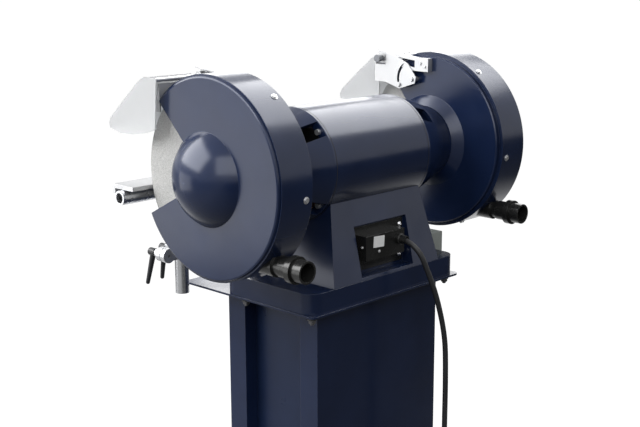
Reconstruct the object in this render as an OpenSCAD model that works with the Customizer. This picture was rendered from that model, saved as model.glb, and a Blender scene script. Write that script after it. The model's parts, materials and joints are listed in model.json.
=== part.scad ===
// Pedestal bench grinder with two wheels, guards, eye shields, tool rests and a floor stand.
// Frame: Z up, operator side -Y, shaft along X, origin on the floor under the motor centre.

/* [Stand] */
// height of the stand's top plate above the floor
stand_h = 750; // [600:1:900]
// how far the top plate stands out past each side of the base box
plate_rim = 3; // [0:1:20]
// reach of the top plate in front of the shaft
plate_front = 240; // [180:1:300]
// reach of the top plate behind the shaft
plate_rear = 128; // [122:1:180]
// thickness of the top plate
plate_t = 4; // [3:0.5:8]
// width of the column's front shell and rear cover
column_w = 354; // [300:1:400]
// width of the column's recessed core
core_w = 296; // [240:1:340]
// depth from the shaft to the column's front face
column_front_y = 150; // [130:1:200]
// depth from the shaft to the column's rear face
column_rear_y = 99; // [80:1:120]
// depth of the front shell
shell_d = 48; // [30:1:70]
// depth of the rear cover
cover_d = 46; // [30:1:70]
// sheet thickness of the column
sheet_t = 3; // [2:0.5:5]
// width of the floor plate
floor_w = 450; // [400:1:560]
// depth of the floor plate
floor_d = 400; // [320:1:500]
// thickness of the floor plate
floor_t = 8; // [6:1:15]
// diameter of the floor anchor holes
anchor_d = 14; // [8:1:20]
// spacing of the anchor holes across the floor plate
anchor_x = 390; // [340:1:500]
// spacing of the anchor holes front to back
anchor_y = 340; // [280:1:440]

/* [Base and motor] */
// width of the base box
base_w = 430; // [380:1:480]
// depth of the base box
base_d = 244; // [200:1:280]
// height of the base box
base_h = 40; // [30:1:60]
// corner radius of the base box
base_r = 30; // [10:1:60]
// height of the shaft above the stand's top plate
centre_h = 260; // [220:1:320]
// outer diameter of the motor
motor_d = 220; // [180:1:260]
// length of the motor shell
motor_l = 267; // [200:1:320]
// width of the motor foot at its bottom
foot_w = 310; // [260:1:360]
// width of the motor foot at its top
foot_top_w = 254; // [200:1:300]
// depth of the motor foot at its top
foot_top_d = 172; // [140:1:200]
// half the distance between the two guard collars
bell_end_x = 250; // [220:1:260]
// outer diameter of the outboard end of each end bell
bell_end_d = 152; // [120:1:180]
// diameter of the shaft in the bearings
shaft_d = 40; // [30:1:50]
// outer diameter of the bearings
bearing_d = 80; // [62:1:90]
// width of the bearings
bearing_w = 18; // [15:1:23]
// diameter of the rotor
rotor_d = 136; // [100:1:150]

/* [Wheels and guards] */
// diameter of the grinding wheels
wheel_d = 350; // [300:1:360]
// width of the grinding wheels
wheel_w = 50; // [32:1:60]
// bore of the grinding wheels
wheel_bore = 76.2; // [32:0.1:127]
// distance from the motor centre to the middle of each wheel
wheel_x = 317; // [300:1:330]
// gap between a wheel and its guard's band
wheel_gap = 9; // [5:0.5:15]
// sheet thickness of the guard band
guard_t = 3; // [2:0.5:5]
// room between a wheel and the guard's outer face
guard_room_out = 14; // [12:1:24]
// room between a wheel and the guard's inboard face
guard_room_in = 26; // [20:1:32]
// angle where the guard opening starts above the front
open_top = 134.5; // [120:0.5:150]
// angle where the guard opening ends below the front
open_low = 207.5; // [190:0.5:220]
// radius of the dome's base circle
dome_r = 86; // [60:1:100]
// height of the dome
dome_h = 50; // [30:1:60]
// outer diameter of the dust outlet mouth
outlet_d = 41; // [35:0.5:60]

/* [Tool rests] */
// outer diameter of the rest tubes
tube_d = 28; // [20:1:35]
// inner diameter of the rest tubes
tube_bore = 20; // [12:1:28]
// distance from the guard's inboard face to the middle of the rest post
post_room = 18; // [15:1:30]
// distance from the wheel's front to the middle of the rest tube
rest_room = 34; // [20:1:50]
// width of the rest plate
rest_w = 134; // [100:1:160]
// gap between the rest plate and the front of the wheel
rest_gap = 3.5; // [2:0.5:8]
// thickness of the rest plate
rest_t = 8; // [5:1:12]
// diameter of the guide rod that sets the reach
guide_d = 22; // [16:1:28]
// length of the clamp levers
lever_l = 64; // [45:1:80]

/* [Eye shields and spark guards] */
// width of each eye shield
hood_w = 104; // [90:1:120]
// thickness of the clear sheet
clear_t = 3; // [2:0.5:5]
// diameter of the shield's hinge pin
pin_d = 8; // [5:0.5:12]
// thickness of the spark guard's plates
spark_t = 3; // [2:0.5:4]

/* [Cord and switch] */
// diameter of the mains cord
cord_d = 11; // [7:0.5:14]
// mean diameter of the coiled cord
coil_d = 120; // [100:1:140]
// diameter of the push buttons
button_d = 14; // [10:1:22]
// width of the switch box
switch_w = 96; // [60:1:120]

/* [Hidden] */
sz = stand_h + centre_h;
base_z = stand_h;

run_gap = 0.05;
loose_gap = 0.3;
cut = 1;

bolt_r = 4;
bolt_head_r = 8;
bolt_head_h = 7;
bolt_l = 34;
bolt_tip = 0.5;
bolt_slack = 0.4;
bolt_boss_r = 11;
bolt_x = base_w / 2 - 18;
bolt_ys = [base_d / 2 - 17, 47 - base_d / 2];
plate_w = base_w + 2 * plate_rim;
plate_r = 12;
box_wall = 4;
box_roof = 4;
lead_hole_d = 30;
lead_hole_x = 60;

motor_r = motor_d / 2;
half_l = motor_l / 2;
shell_t = 6;
foot_low = base_h - centre_h;
foot_slope_z = -60;
foot_top_z = -50;
foot_t = 6;
foot_roof_z = -119;
pocket_x = 76;
pocket_y = base_d / 2 - 30;
pocket_z0 = foot_low + 6;
pocket_z1 = -117;
pocket_wall = 5;
pocket_back = 8;
lead_bush = [-20, -170];
lead_bush_r = 12;

core_l = 150;
winding_l = 220;
winding_r = 90;
air_gap = 1;
winding_bore = rotor_d / 2 + 6;
rotor_l = 160;
hub_t = 5;
tie_r = motor_r - 12;
tie_rod_r = 3;
tie_head_r = 5.5;
tie_head_x = half_l + 7;
tie_head_h = 6;
tie_angles = [45, 135, 225, 315];

bell_end_r = bell_end_d / 2;
bell_wall = 7;
bell_hub_r = 25.5;
bearing_x = 163;
bearing_seat = 9;
disc_x = 190;
disc_t = 7;
disc_r = 88;
window_w = 34;
window_x0 = half_l + 7;
window_x1 = half_l + 52;
window_r0 = 70;

wheel_r0 = wheel_d / 2;
wheel_in_x = wheel_x - wheel_w / 2;
wheel_out_x = wheel_x + wheel_w / 2;
guard_in_x = wheel_in_x - guard_room_in;
guard_out_x = wheel_out_x + guard_room_out;
guard_r = wheel_r0 + wheel_gap + guard_t;
lip_r = guard_r - guard_t - 0.1;
lip_w = 23;
rim_r = guard_r - 13;
rim_t = 3;
rim_x = guard_in_x + 11;
band_out_x = guard_out_x - 6;
back_t = 6;
back_r = guard_r - 8;
collar_r = 97;
back_open = 127;
back_open_r = 100;
flange_r = 60;
flange_t = 11;
spigot_r = wheel_bore / 2 - 0.1;
spigot_l = 18;
thread_r = 15;
journal_r = 17.5;
nut_r = 26;
nut_t = 20;
tip_x = wheel_out_x + flange_t + nut_t + 4;
dome_sr = (dome_r * dome_r + dome_h * dome_h) / (2 * dome_h);
dome_cx = guard_out_x + dome_h - dome_sr;
dome_t = 2.5;
rim_screw_x = rim_x + 15;
rim_screw_angles = [54, -6, -66, 234, 114];
rim_screw_r = 2.5;
rim_head_r = 4.5;
rim_head_h = 3;

outlet_z = 49 - guard_r;
outlet_bore = 14;
outlet_r = outlet_d / 2;
outlet_wall = 3.5;
// radius and ends of each step of the dust outlet
outlet_steps = [
  [21, 100, 142], [17, 130, 160], [outlet_r - 1, 155, 180], [25, 178, 190], [outlet_r - 1.5, 188, 195],
  [outlet_r, 194, 213]
];

// the outlines below are drawn for this guard radius and grow with the guard
drawn_r = 187;
grow = guard_r / drawn_r;
pin_r = pin_d / 2;
hinge_y = -121 * grow;
hinge_z = 169.5 * grow;
arm_x0 = guard_in_x - 14;
arm_flange = 3;
knob_x = arm_x0 - 16;
knob_r = 8;
knob_w = 10;
knob_neck_r = 6;
arm_outline = grow * [
  [-130, 187], [-24, 175], [8, 175], [8, 147], [-24, 147], [-72, 155], [-112, 159], [-130, 160]
];
arm_window = grow * [[-110, 178], [-28, 169], [-28, 154], [-72, 161], [-110, 165]];
arm_screws = grow * [[-13, 164], [-1, 158]];
arm_screw_r = 3.5;
hood_mid = wheel_x + 3;
hood_x0 = hood_mid - hood_w / 2;
hood_x1 = hood_mid + hood_w / 2;
strip_inset = 3.5;
strip_y = hinge_y - 28.5;
strip_z = hinge_z - 2.5;
hood_outside = grow * [[-150, 173], [-165, 165], [-206, 132], [-255, 90], [-260, 80], [-258, 70]];
hood_inside = grow * [[-254, 70.6], [-257, 80], [-252, 88], [-204, 129.7], [-163.5, 162.3], [-150, 170]];
hood_low = grow * [[-223, 63], [-189, 64], [-151, 70]];
cheek_in = grow * [[-142, 72], [-140, 173]];
cheek_out = grow * [[-121, 79], [-114, 173]];

screw_r = 2.5;
screw_head_r = 5;
spacer_r = 6;
side_t = 2.5;
spark_x = arm_x0 - 3;
spark_out_x = wheel_out_x + 4;
spark_front_y = -137 * grow;
spark_low_z = 119 * grow;
spark_top_z = 160 * grow;
spark_flange = [-152 * grow, 108 * grow];
pivot_y = -34 * grow;
pivot_z = 129 * grow;
slot_r = 37;
slot_w = 6;
slot_ends = [128, 205];
slot_screw_angle = 199.6;
slot_screw = [pivot_y + slot_r * cos(slot_screw_angle), pivot_z + slot_r * sin(slot_screw_angle)];
spark_outline = grow * [
  [-106, 184], [-60, 169], [-43, 160], [-22, 134], [-25, 121], [-68, 107], [-108, 119], [-137, 119],
  [-137, 156], [-107, 156]
];

tube_r = tube_d / 2;
tube_z = -57;
tube_out = 9;
rest_y = wheel_r0 + rest_room;
post_x = guard_in_x - post_room;
post_low_z = -271;
post_bore_l = 180;
elbow_w = 36;
elbow_low_z = -75;
rest_top_z = -34;
rest_lip = 18;
rest_lip_t = 6;
rest_back = 31;
pad_x0 = wheel_x + 13;
pad_w = 40;
pad_d = 20;
pad_drop = 3;
sleeve_t = 7;
sleeve_z = -194;
sleeve_h = 40;
slide_y0 = -rest_y - 20;
slide_y1 = 20 - rest_y;
hub_ring_r = 12.5;
hub_neck_r = 9;
hub_web = [-199, -176];
guide_web = [-190, -162];
ear_w = 18;
ear_z = [-192, -172];
arm_pad_y = [-116, -68];
arm_pad_z = [-130, -84];
arm_pad_t = 10;
arm_bar_y = [-136, -108];
arm_bar_z = [-150, -120];
arm_drop_y = [-148, -118];
arm_drop_z = [-192, -126];
arm_drop_w = 28;
guide_x = post_x - 50;
guide_z = -176;
guide_r = guide_d / 2;
guide_front_y = -rest_y - 66;
hub_x = post_x + 40;
hub_z = -187;
hub_r = 14.5;
hub_y = 12 - rest_y;
lever_a = [hub_x, -rest_y - 38, hub_z];
lever_b = [post_x + 14, -rest_y - 36, -182];
lever_pin_r = 5;
lever_a_pin = 34;
lever_b_pin = 20;
lever_tilt = 8;
lever_lean = 171;
grip_r = 6;
grip_end_r = 4.2;

panel_x = 70;
panel_z0 = foot_low + 12;
panel_z1 = -121;
panel_t = 3;
box_y0 = pocket_y + panel_t;
box_y1 = box_y0 + 25;
box_x0 = -48;
box_x1 = 64;
box_z0 = -184;
box_z1 = -136;
box_t = 3;
gland_x = -32;
gland_z = -155;
gland_l = 20;
gland_r = 8;
gland_slack = 0.2;
gland_nut_r = 11;
gland_nut_l = 6;

cord_r = cord_d / 2;
cord_sides = 10;
// where the hanging line below leaves the gland; the line follows the gland if that moves
drawn_exit = [-32, 120, 855];
exit_move = [gland_x, box_y1, sz + gland_z] - drawn_exit;
hang_line = [
  [-32, 124, 855], [-32, 127, 855], [-32.4, 137.3, 853.9], [-33.4, 147.2, 850.6],
  [-35.1, 155.9, 845.2], [-37.4, 163.2, 838.2], [-40.2, 168.7, 829.7], [-43, 171.9, 820.8],
  [-48, 175.5, 805], [-57.8, 182, 775], [-66.3, 187.5, 745], [-74.5, 191.5, 712], [-82, 194.5, 677],
  [-88, 196.3, 634], [-90, 197, 597], [-90, 197, 559], [-90, 197, 525], [-90, 197, 490],
  [-90, 197, 455], [-90, 197, 420], [-90, 197, 385], [-90, 197, 350], [-90, 198, 315], [-90, 199, 280],
  [-90, 201, 245], [-90, 204, 210], [-90, 208, 175], [-90, 213, 140], [-90, 219, 105], [-90, 226, 72],
  [-90, 237.1, 39.3], [-90, 243.2, 28], [-90, 251.2, 18.8], [-90, 261, 11.9], [-90, 272.3, 7.2],
  [-90, 285, 5.6]
];
hang = [for (p = hang_line) p + min(1, max(0, p[2] - 20) / (drawn_exit[2] - 20)) * exit_move];
coil_x = coil_d / 2 + cord_r - 90;
coil_y = 300;
coil_h = 20.5;
tail = [[-25, 360, 15], [0, 360.5, 16], [16, 362, 17], [34, 365, 20], [52, 369, 24], [66, 372, 27]];
plug_at = tail[len(tail) - 1];
plug_turn = 12;
plug_r = 27;
plug_l = 128;
plug_sleeve_t = 4;
plug_sleeve_x = 100;
plug_pin_r = 2.5;
plug_pin_x = 12;
plug_post_r = 5;

switch_x1 = -base_w / 2;
switch_x0 = switch_x1 - 48;
switch_y0 = 46 - switch_w;
switch_y1 = 46;
switch_z0 = foot_low - 18;
switch_z1 = foot_low + 28;
switch_t = 3;
button_r = button_d / 2;
button_out = 5;
button_z = (switch_z0 + switch_z1) / 2;
start_x = switch_x1 - 13;
stop_x = switch_x1 - 35;

$fn = 96;

// cylinder along X from x0 to x1 at height z and depth y
module xcyl(r, x0, x1, y = 0, z = 0) {
  translate([x0, y, z])
    rotate([0, 90, 0])
      cylinder(r = r, h = x1 - x0);
}

// cylinder along Y from y0 to y1
module ycyl(r, y0, y1, x = 0, z = 0) {
  translate([x, y1, z])
    rotate([90, 0, 0])
      cylinder(r = r, h = y1 - y0);
}

// ring along X
module xring(r_out, r_in, x0, x1) {
  difference() {
    xcyl(r_out, x0, x1);
    xcyl(r_in, x0 - cut, x1 + cut);
  }
}

// box between two corners
module slab(a, b) {
  translate(a)
    cube([b[0] - a[0], b[1] - a[1], b[2] - a[2]]);
}

// profile of [radius, x] points turned about the X axis
module xturn(points) {
  rotate([0, 90, 0])
    rotate_extrude()
      polygon(points);
}

// sheet of (y, z) points standing across X from x0 to x1
module yz_plate(points, x0, x1) {
  translate([x0, 0, 0])
    rotate([90, 0, 90])
      linear_extrude(height = x1 - x0)
        polygon(points);
}

// wedge that opens a guard between two angles, outside radius r_in
module guard_wedge(a0, a1, r_in, x0, x1) {
  far = 2 * guard_r;
  peak = 3 * guard_r;
  mid = (a0 + a1) / 2;
  difference() {
    yz_plate([
      [0, 0],
      [far * cos(a0), far * sin(a0)],
      [peak * cos(mid), peak * sin(mid)],
      [far * cos(a1), far * sin(a1)]
    ], x0, x1);
    xcyl(r_in, x0 - cut, x1 + cut);
  }
}

module rounded_plate(x0, x1, y0, y1, r, h) {
  linear_extrude(height = h) {
    translate([x0 + r, y0])
      square([x1 - x0 - 2 * r, y1 - y0]);
    translate([x0, y0 + r])
      square([x1 - x0, y1 - y0 - 2 * r]);
    for (x = [x0 + r, x1 - r])
      for (y = [y0 + r, y1 - r])
        translate([x, y])
          circle(r = r);
  }
}

module at_shaft() {
  translate([0, 0, sz])
    children();
}

module left_side() {
  mirror([1, 0, 0])
    children();
}

// ---------- stand ----------

module floor_plate() {
  difference() {
    slab([-floor_w / 2, -floor_d / 2, 0], [floor_w / 2, floor_d / 2, floor_t]);
    for (x = [-anchor_x / 2, anchor_x / 2])
      for (y = [-anchor_y / 2, anchor_y / 2])
        translate([x, y, -cut])
          cylinder(d = anchor_d, h = floor_t + 2 * cut);
  }
}

module column_tube(w, y0, y1) {
  difference() {
    slab([-w / 2, y0, floor_t], [w / 2, y1, stand_h - plate_t]);
    slab([sheet_t - w / 2, y0 + sheet_t, floor_t - cut], [w / 2 - sheet_t, y1 - sheet_t, stand_h]);
  }
}

// floor plate with the column's core welded on it
module stand_core() {
  color([0.15, 0.18, 0.26]) {
    floor_plate();
    column_tube(core_w, shell_d - column_front_y, column_rear_y - cover_d);
  }
}

module column_front() {
  color([0.17, 0.2, 0.28])
    column_tube(column_w, -column_front_y, shell_d - column_front_y);
}

module column_rear() {
  color([0.17, 0.2, 0.28])
    column_tube(column_w, column_rear_y - cover_d, column_rear_y);
}

module top_plate() {
  color([0.17, 0.2, 0.28])
    difference() {
      translate([0, 0, stand_h - plate_t])
        rounded_plate(-plate_w / 2, plate_w / 2, -plate_front, plate_rear, plate_r, plate_t);
      bolt_bores(stand_h - plate_t - cut, plate_t + 2 * cut, bolt_r + bolt_slack);
    }
}

module bolt_bores(z, h, r) {
  for (x = [-bolt_x, bolt_x])
    for (y = bolt_ys)
      translate([x, y, z])
        cylinder(r = r, h = h);
}

module stand_bolts() {
  color([0.1, 0.1, 0.12]) {
    bolt_bores(stand_h - plate_t - bolt_head_h, bolt_head_h, bolt_head_r);
    bolt_bores(stand_h - plate_t - bolt_head_h - bolt_tip, bolt_l, bolt_r);
  }
}

// ---------- base and motor ----------

module base_box() {
  x = base_w / 2;
  y = base_d / 2;
  color([0.17, 0.2, 0.28])
    translate([0, 0, base_z])
      difference() {
        union() {
          difference() {
            rounded_plate(-x, x, -y, y, base_r, base_h);
            translate([0, 0, -cut])
              rounded_plate(box_wall - x, x - box_wall, box_wall - y, y - box_wall, base_r - box_wall,
                base_h - box_roof + cut);
          }
          bolt_bores(0, base_h - box_roof / 2, bolt_boss_r);
        }
        bolt_bores(-cut, base_h - 2 * box_roof, bolt_r + bolt_slack / 2);
        translate([lead_hole_x, 0, base_h - box_roof - cut])
          cylinder(d = lead_hole_d, h = box_roof + 2 * cut);
      }
}

// solid with straight sloping sides, from foot top to base top
module foot_solid(inset, z0, z1) {
  span = foot_slope_z - foot_low;
  wx0 = foot_w / 2 - inset;
  wx1 = foot_top_w / 2 - inset;
  wy0 = base_d / 2 - inset;
  wy1 = foot_top_d / 2 - inset;
  intersection() {
    translate([0, base_d, foot_low])
      rotate([90, 0, 0])
        linear_extrude(height = 2 * base_d)
          polygon([[-wx0, 0], [wx0, 0], [wx1, span], [-wx1, span]]);
    translate([-foot_w, 0, foot_low])
      rotate([90, 0, 90])
        linear_extrude(height = 2 * foot_w)
          polygon([[-wy0, 0], [wy0, 0], [wy1, span], [-wy1, span]]);
    slab([-foot_w, -base_d, z0], [foot_w, base_d, z1]);
  }
}

module motor_foot() {
  color([0.17, 0.2, 0.28])
    at_shaft()
      difference() {
        union() {
          difference() {
            foot_solid(0, foot_low, foot_top_z);
            foot_solid(foot_t, foot_low - cut, foot_roof_z);
          }
          intersection() {
            foot_solid(0, foot_low, foot_top_z);
            slab([-pocket_x - pocket_wall, pocket_y - pocket_back, foot_low],
              [pocket_x + pocket_wall, base_d, pocket_z1 + pocket_wall + 2]);
          }
        }
        xcyl(motor_r, -foot_w, foot_w);
        slab([-pocket_x, pocket_y, pocket_z0], [pocket_x, base_d, pocket_z1]);
        ycyl(lead_bush_r, pocket_y - pocket_back - 2, pocket_y + cut, lead_bush[0], lead_bush[1]);
      }
}

module motor_shell() {
  color([0.19, 0.22, 0.3])
    at_shaft()
      xring(motor_r, motor_r - shell_t, -half_l, half_l);
}

module stator() {
  color([0.45, 0.45, 0.47])
    at_shaft()
      difference() {
        union() {
          xcyl(motor_r - shell_t, -core_l / 2, core_l / 2);
          xcyl(winding_r, -winding_l / 2, winding_l / 2);
        }
        xcyl(rotor_d / 2 + air_gap, -core_l / 2 - cut, core_l / 2 + cut);
        for (x = [-winding_l / 2 - cut, core_l / 2 - cut])
          xcyl(winding_bore, x, x + (winding_l - core_l) / 2 + 2 * cut);
        for (a = tie_angles)
          xcyl(tie_rod_r + 1.5, -core_l / 2 - cut, core_l / 2 + cut, tie_r * cos(a), tie_r * sin(a));
      }
}

module end_bell() {
  difference() {
    union() {
      difference() {
        xturn([
          [motor_r, half_l], [motor_r, half_l + 5], [bell_end_r, bell_end_x - 5], [bell_end_r, bell_end_x],
          [bell_hub_r, bell_end_x], [bell_hub_r, bell_end_x - bell_wall + 1],
          [bell_end_r - bell_wall, bell_end_x - bell_wall], [motor_r - 12, half_l + 12],
          [motor_r - 18, half_l + bell_wall], [motor_r - 18, half_l]
        ]);
        for (a = tie_angles)
          rotate([a, 0, 0])
            slab([window_x0, window_r0, -window_w / 2], [window_x1, motor_d, window_w / 2]);
      }
      xturn([
        [bearing_d / 2, bearing_x - cut], [bearing_d / 2 + bearing_seat, bearing_x - cut],
        [bearing_d / 2 + bearing_seat, disc_x - 4], [disc_r, disc_x], [disc_r - 2, disc_x + disc_t],
        [bell_hub_r - 2, disc_x + disc_t], [bell_hub_r - 2, bearing_x + bearing_w],
        [bearing_d / 2, bearing_x + bearing_w]
      ]);
    }
    for (a = tie_angles)
      xcyl(tie_rod_r + loose_gap, half_l - cut, half_l + 12, tie_r * cos(a), tie_r * sin(a));
  }
}

module end_bell_r() {
  color([0.17, 0.2, 0.28])
    at_shaft()
      end_bell();
}

module end_bell_l() {
  color([0.17, 0.2, 0.28])
    at_shaft()
      left_side()
        end_bell();
}

module tie_bolts() {
  color([0.7, 0.7, 0.72])
    at_shaft()
      for (a = tie_angles) {
        xcyl(tie_rod_r, -tie_head_x - 2, tie_head_x + 2, tie_r * cos(a), tie_r * sin(a));
        for (x = [-tie_head_x - tie_head_h, tie_head_x])
          xcyl(tie_head_r, x, x + tie_head_h, tie_r * cos(a), tie_r * sin(a));
      }
}

module bearings() {
  color([0.72, 0.72, 0.74])
    at_shaft()
      for (x = [-bearing_x - bearing_w, bearing_x])
        xring(bearing_d / 2, shaft_d / 2 + run_gap, x, x + bearing_w);
}

module rotor() {
  color([0.5, 0.5, 0.52])
    at_shaft()
      xring(rotor_d / 2, shaft_d / 2 + hub_t, -rotor_l / 2, rotor_l / 2);
}

module shaft() {
  shoulder_x = bearing_x - 0.5;
  seat_x = bearing_x + bearing_w + 2;
  color([0.75, 0.75, 0.77])
    at_shaft() {
      xcyl(shaft_d / 2 + hub_t, -shoulder_x, shoulder_x);
      xcyl(shaft_d / 2, -seat_x, seat_x);
      xcyl(journal_r, 1 - wheel_in_x, wheel_in_x - 1);
      xcyl(thread_r, -tip_x, tip_x);
    }
}

// ---------- electrics ----------

module rear_panel() {
  color([0.06, 0.06, 0.07])
    at_shaft()
      difference() {
        slab([-panel_x, pocket_y, panel_z0], [panel_x, box_y0, panel_z1]);
        ycyl(lead_bush_r - 2, pocket_y - cut, box_y0 + cut, lead_bush[0], lead_bush[1]);
      }
}

module cable_box() {
  color([0.05, 0.05, 0.06])
    at_shaft()
      difference() {
        slab([box_x0, box_y0, box_z0], [box_x1, box_y1, box_z1]);
        slab([box_x0 + box_t, box_y0 - cut, box_z0 + box_t],
          [box_x1 - box_t, box_y1 - box_t, box_z1 - box_t]);
        ycyl(gland_r + gland_slack, box_y1 - box_t - cut, box_y1 + cut, gland_x, gland_z);
      }
}

module cable_gland() {
  bore = cord_r + 0.1;
  color([0.1, 0.1, 0.11])
    at_shaft()
      translate([gland_x, box_y1, gland_z])
        rotate([-90, 0, 0])
          rotate_extrude()
            polygon([
              [bore, -gland_r], [gland_r, -gland_r], [gland_r, 0], [gland_nut_r, 0],
              [gland_nut_r, gland_nut_l], [gland_nut_r - 1.5, gland_nut_l + 1],
              [gland_r - 0.5, gland_l], [bore, gland_l]
            ]);
}

function unit(v) = v / norm(v);

function heading(p, i) = unit(p[min(i + 1, len(p) - 1)] - p[max(i - 1, 0)]);

function ring_point(p, i, a) =
  let (side = unit(cross(heading(p, i), [1, 0, 0.001])), up = cross(heading(p, i), side))
  p[i] + cord_r * (cos(a) * side + sin(a) * up);

// round cord through a list of points
module swept_cord(p) {
  n = cord_sides;
  last = (len(p) - 1) * n;
  polyhedron(
    points = [for (i = [0 : len(p) - 1]) for (k = [0 : n - 1]) ring_point(p, i, 360 * k / n)],
    faces = concat(
      [[for (k = [0 : n - 1]) n - 1 - k]],
      [for (i = [0 : n : last - 1]) for (k = [0 : n - 1])
        [i + k, i + (k + 1) % n, i + n + (k + 1) % n, i + n + k]],
      [[for (k = [0 : n - 1]) last + k]]
    )
  );
}

module cord() {
  color([0.04, 0.04, 0.05]) {
    swept_cord(hang);
    swept_cord(tail);
  }
}

// outer shape of the coiled cord: two turns side by side and the rest on top
module cord_coil() {
  color([0.04, 0.04, 0.05])
    translate([coil_x, coil_y, 0])
      rotate_extrude()
        translate([coil_d / 2, 0])
          polygon([
            [-cord_d, 0], [cord_d, 0], [cord_d, cord_d],
            [cord_r, coil_h], [-cord_r, coil_h], [-cord_d, cord_d]
          ]);
}

module plug() {
  color([0.05, 0.05, 0.06])
    translate(plug_at)
      rotate([0, 0, plug_turn]) {
        difference() {
          xturn([
            [0, 0], [cord_r + 1.5, 0], [cord_r + 4, plug_l - 100], [plug_r - 5, plug_l - 94],
            [plug_r - 3, plug_l - 38], [plug_r, plug_l - 34], [plug_r, plug_l], [0, plug_l]
          ]);
          xcyl(plug_r - plug_sleeve_t, plug_sleeve_x, plug_l + cut);
        }
        xcyl(plug_post_r, plug_sleeve_x - cut, plug_sleeve_x + 4);
        for (a = [0, 90, 180, 270])
          xcyl(plug_pin_r, plug_sleeve_x - cut, plug_l - 4, plug_pin_x * cos(a), plug_pin_x * sin(a));
      }
}

module switch_box() {
  color([0.5, 0.53, 0.51])
    at_shaft()
      difference() {
        slab([switch_x0, switch_y0, switch_z0], [switch_x1, switch_y1, switch_z1]);
        slab([switch_x0 + switch_t, switch_y0 + switch_t, switch_z0 + switch_t],
          [switch_x1 - switch_t, switch_y1 - switch_t, switch_z1 - switch_t]);
        for (x = [start_x, stop_x])
          ycyl(button_r + loose_gap, switch_y0 - cut, switch_y0 + switch_t + cut, x, button_z);
      }
}

module button(x) {
  ycyl(button_r, switch_y0 - button_out, switch_y0 + switch_t + 2, x, button_z);
  ycyl(button_r + 2, switch_y0 + switch_t + loose_gap, switch_y0 + switch_t + loose_gap + 2, x, button_z);
}

module start_button() {
  color([0.1, 0.5, 0.2])
    at_shaft()
      button(start_x);
}

module stop_button() {
  color([0.75, 0.1, 0.1])
    at_shaft()
      button(stop_x);
}

// ---------- guards ----------

module rim_screw_set(r0, r1, rr) {
  for (a = rim_screw_angles)
    rotate([a, 0, 0])
      ycyl(rr, r0, r1, rim_screw_x);
}

module guard_back() {
  difference() {
    xturn([
      [journal_r + 12, bell_end_x], [bell_end_r - 2, bell_end_x], [collar_r, guard_in_x],
      [back_r - 2, guard_in_x], [back_r, guard_in_x + 2], [back_r, rim_x], [lip_r, rim_x],
      [lip_r, rim_x + lip_w], [lip_r - 3, rim_x + lip_w], [lip_r - 3, rim_x + 4], [rim_r, rim_x + 4],
      [rim_r, guard_in_x + back_t], [journal_r + 12, guard_in_x + back_t]
    ]);
    guard_wedge(back_open, open_low, back_open_r, bell_end_x - 10, rim_x + 2 * lip_w);
    rim_screw_set(rim_r - 14, guard_r + 13, rim_screw_r + 0.2);
    for (q = [[pivot_y, pivot_z], slot_screw])
      xcyl(screw_r + 0.2, guard_in_x - back_t, rim_x + 3, q[0], q[1]);
  }
}

module guard_band() {
  difference() {
    union() {
      xring(guard_r, guard_r - guard_t, rim_x, band_out_x);
      xring(guard_r, rim_r - 2, band_out_x - rim_t, band_out_x);
    }
    guard_wedge(open_top, open_low, 20, guard_in_x - 6, guard_out_x + 4);
    rim_screw_set(rim_r - 14, guard_r + 13, rim_screw_r + 0.2);
    ycyl(outlet_bore, 60, guard_r + 13, wheel_x, outlet_z);
  }
}

// side cover of a guard, with the dome over the spindle nut
module guard_cover() {
  difference() {
    rotate([0, 90, 0])
      rotate_extrude() {
        polygon([
          [dome_r - 3, guard_out_x - rim_t], [rim_r, guard_out_x - rim_t], [rim_r, band_out_x],
          [guard_r - 3, band_out_x], [guard_r - 3, guard_out_x - 4], [guard_r - 4.2, guard_out_x - 1.2],
          [guard_r - 7, guard_out_x], [dome_r - 3, guard_out_x]
        ]);
        intersection() {
          translate([0, dome_cx])
            difference() {
              circle(r = dome_sr);
              circle(r = dome_sr - dome_t);
            }
          translate([0, guard_out_x - 2])
            square([dome_r + 3, dome_h + 10]);
        }
      }
    guard_wedge(open_top, open_low, dome_r + 2, band_out_x - 10, guard_out_x + 14);
  }
}

module dust_outlet() {
  difference() {
    for (step = outlet_steps)
      ycyl(step[0], step[1], step[2], wheel_x, outlet_z);
    ycyl(outlet_bore, 60, 170, wheel_x, outlet_z);
    ycyl(outlet_r - outlet_wall, 165, 220, wheel_x, outlet_z);
    xcyl(guard_r, guard_in_x, guard_out_x + 4);
  }
}

module guard_back_r() {
  color([0.17, 0.2, 0.28])
    at_shaft()
      guard_back();
}

module guard_back_l() {
  color([0.17, 0.2, 0.28])
    at_shaft()
      left_side()
        guard_back();
}

module guard_band_r() {
  color([0.18, 0.21, 0.29])
    at_shaft()
      guard_band();
}

module guard_band_l() {
  color([0.18, 0.21, 0.29])
    at_shaft()
      left_side()
        guard_band();
}

module guard_cover_r() {
  color([0.18, 0.21, 0.29])
    at_shaft()
      guard_cover();
}

module guard_cover_l() {
  color([0.18, 0.21, 0.29])
    at_shaft()
      left_side()
        guard_cover();
}

module dust_outlet_r() {
  color([0.05, 0.05, 0.06])
    at_shaft()
      dust_outlet();
}

module dust_outlet_l() {
  color([0.05, 0.05, 0.06])
    at_shaft()
      left_side()
        dust_outlet();
}

module guard_screw_half() {
  rim_screw_set(lip_r - 5, guard_r + 0.5, rim_screw_r);
  rim_screw_set(guard_r, guard_r + rim_head_h, rim_head_r);
}

module guard_screws() {
  color([0.75, 0.75, 0.77])
    at_shaft() {
      guard_screw_half();
      left_side()
        guard_screw_half();
    }
}

// ---------- spindle ----------

module wheel() {
  xring(wheel_r0, wheel_bore / 2, wheel_in_x, wheel_out_x);
}

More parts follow.
